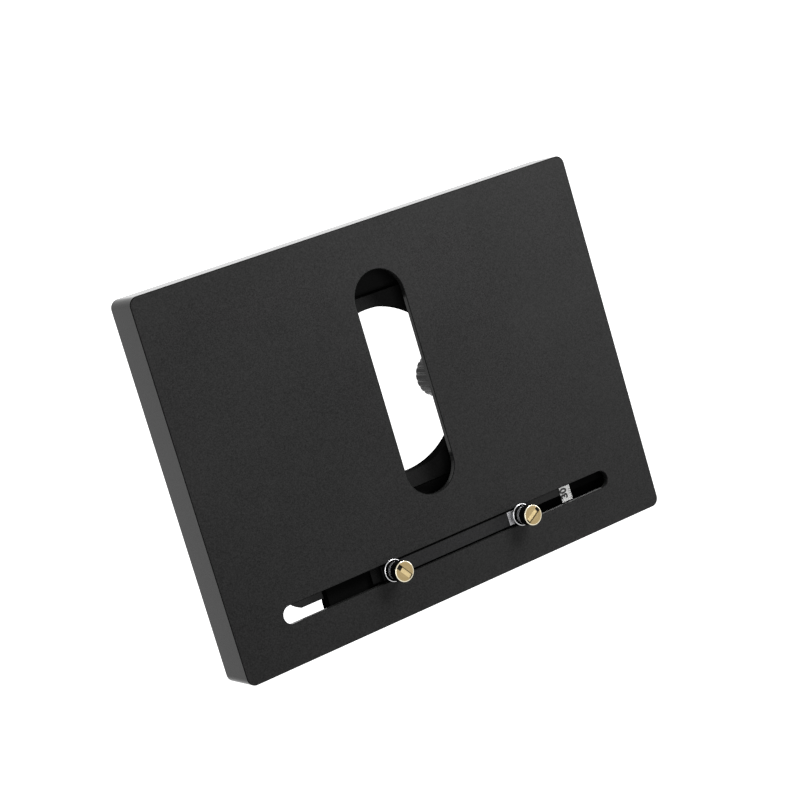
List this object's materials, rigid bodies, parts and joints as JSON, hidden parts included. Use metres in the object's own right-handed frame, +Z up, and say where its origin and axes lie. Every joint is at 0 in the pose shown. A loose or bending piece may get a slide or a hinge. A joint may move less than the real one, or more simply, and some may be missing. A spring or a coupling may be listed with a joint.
{
  "type": "mechanical microscope stage",
  "caption": "Double-layer mechanical microscope stage with a skirted black top plate, an X carriage in a long slot and a low coaxial X/Y drive handle.",
  "frame": {"origin": "centre of the condenser hole and of the mounting holes, on the lower stage's mounting face", "axes": "+Z up, out of the specimen face; +X along the carriage slot, towards the drive handle; +Y away from the slot"},
  "size_m": [0.2, 0.1501, 0.1135],
  "materials": {
    "black_face": "satin black anodised",
    "black_metal": "black anodised",
    "knob_black": "ribbed black anodised",
    "ground_steel": "ground",
    "black_screws": "black oxide",
    "bright_steel": "polished",
    "brass": "turned",
    "white_scale": "white, printed"
  },
  "bodies": {
    "lower_stage": {"base_plate": "black_metal", "left_fixed_way": "ground_steel", "right_fixed_way": "ground_steel", "fixed_way_screws": "black_screws", "y_rack": "ground_steel", "rack_screws": "black_screws"},
    "upper_stage": {"top_plate": "black_face", "left_moving_way": "ground_steel", "right_moving_way": "ground_steel", "moving_way_screws": "black_screws", "front_x_way": "black_metal", "rear_x_way": "black_metal", "x_way_screws": "black_screws", "cover_strip": "black_metal", "cover_strip_screws": "black_screws", "scale_plate": "white_scale", "handle_bracket": "black_metal", "bracket_screws": "black_screws", "upper_bush": "brass", "lower_bush": "brass", "idler_posts": "bright_steel", "drive_wire": "bright_steel"},
    "ball_cages": {"left_ball_cage": "brass", "right_ball_cage": "brass", "bearing_balls": "bright_steel"},
    "x_carriage": {"carriage_plate": "black_metal", "carriage_bar": "black_metal", "bar_screws": "black_screws", "ribbed_block": "bright_steel", "post_block": "black_metal", "wire_clamp": "ground_steel", "wire_clamp_screws": "black_screws", "left_stud": "ground_steel", "left_washer": "bright_steel", "left_collar": "bright_steel", "right_stud": "ground_steel", "right_washer": "bright_steel", "right_collar": "bright_steel"},
    "left_thumb_screw": {"left_thumb_body": "black_metal", "left_brass_head": "brass"},
    "right_thumb_screw": {"right_thumb_body": "black_metal", "right_brass_head": "brass"},
    "x_handle": {"inner_shaft": "ground_steel", "wire_drum": "bright_steel", "x_knob": "knob_black", "x_knob_set_screw": "black_screws"},
    "y_handle": {"sleeve_shaft": "ground_steel", "y_pinion": "brass", "sleeve_ring": "black_screws", "y_knob": "knob_black", "y_knob_set_screw": "black_screws"},
    "left_idler_wheel": {"left_idler": "brass"},
    "outer_idler_wheel": {"outer_idler": "brass"},
    "inner_idler_wheel": {"inner_idler": "brass"}
  },
  "joints": [
    {"name": "y_travel", "type": "slide", "parent": "lower_stage", "child": "upper_stage", "axis": [0, 1, 0], "range_m": [-0.024, 0.026]},
    {"name": "cage_travel", "type": "slide", "parent": "lower_stage", "child": "ball_cages", "axis": [0, 1, 0], "range_m": [-0.0125, 0.0135]},
    {"name": "x_travel", "type": "slide", "parent": "upper_stage", "child": "x_carriage", "axis": [1, 0, 0], "range_m": [-0.039, 0.039]},
    {"name": "x_drive", "type": "hinge", "parent": "upper_stage", "child": "x_handle", "pos_m": [0.0756, -0.01525, 0], "axis": [0, 0, 1], "range_deg": [-410, 410]},
    {"name": "y_drive", "type": "hinge", "parent": "upper_stage", "child": "y_handle", "pos_m": [0.0756, -0.01525, 0], "axis": [0, 0, 1], "range_deg": [-250, 270]},
    {"name": "left_idler_turn", "type": "hinge", "parent": "upper_stage", "child": "left_idler_wheel", "pos_m": [-0.088, -0.058, 0], "axis": [0, 0, 1], "range_deg": [-562, 562]},
    {"name": "outer_idler_turn", "type": "hinge", "parent": "upper_stage", "child": "outer_idler_wheel", "pos_m": [0.0771, -0.058, 0], "axis": [0, 0, 1], "range_deg": [-562, 562]},
    {"name": "inner_idler_turn", "type": "hinge", "parent": "upper_stage", "child": "inner_idler_wheel", "pos_m": [0.0661, -0.05, 0], "axis": [0, 0, 1], "range_deg": [-562, 562]},
    {"name": "left_thumb_turn", "type": "hinge", "parent": "x_carriage", "child": "left_thumb_screw", "pos_m": [-0.02865, -0.06355, 0.02], "axis": [0, 0, 1], "range_deg": [0, 360]},
    {"name": "right_thumb_turn", "type": "hinge", "parent": "x_carriage", "child": "right_thumb_screw", "pos_m": [0.0337, -0.06355, 0.02], "axis": [0, 0, 1], "range_deg": [0, 360]}
  ],
  "couplings": [
    {"joint": "cage_travel", "follows": "y_travel", "ratio": 0.5},
    {"joint": "y_drive", "follows": "y_travel", "rad_per_m": 178.57},
    {"joint": "x_drive", "follows": "x_travel", "rad_per_m": 181.82},
    {"joint": "left_idler_turn", "follows": "x_travel", "rad_per_m": 250},
    {"joint": "outer_idler_turn", "follows": "x_travel", "rad_per_m": 250},
    {"joint": "inner_idler_turn", "follows": "x_travel", "rad_per_m": -250}
  ]
}
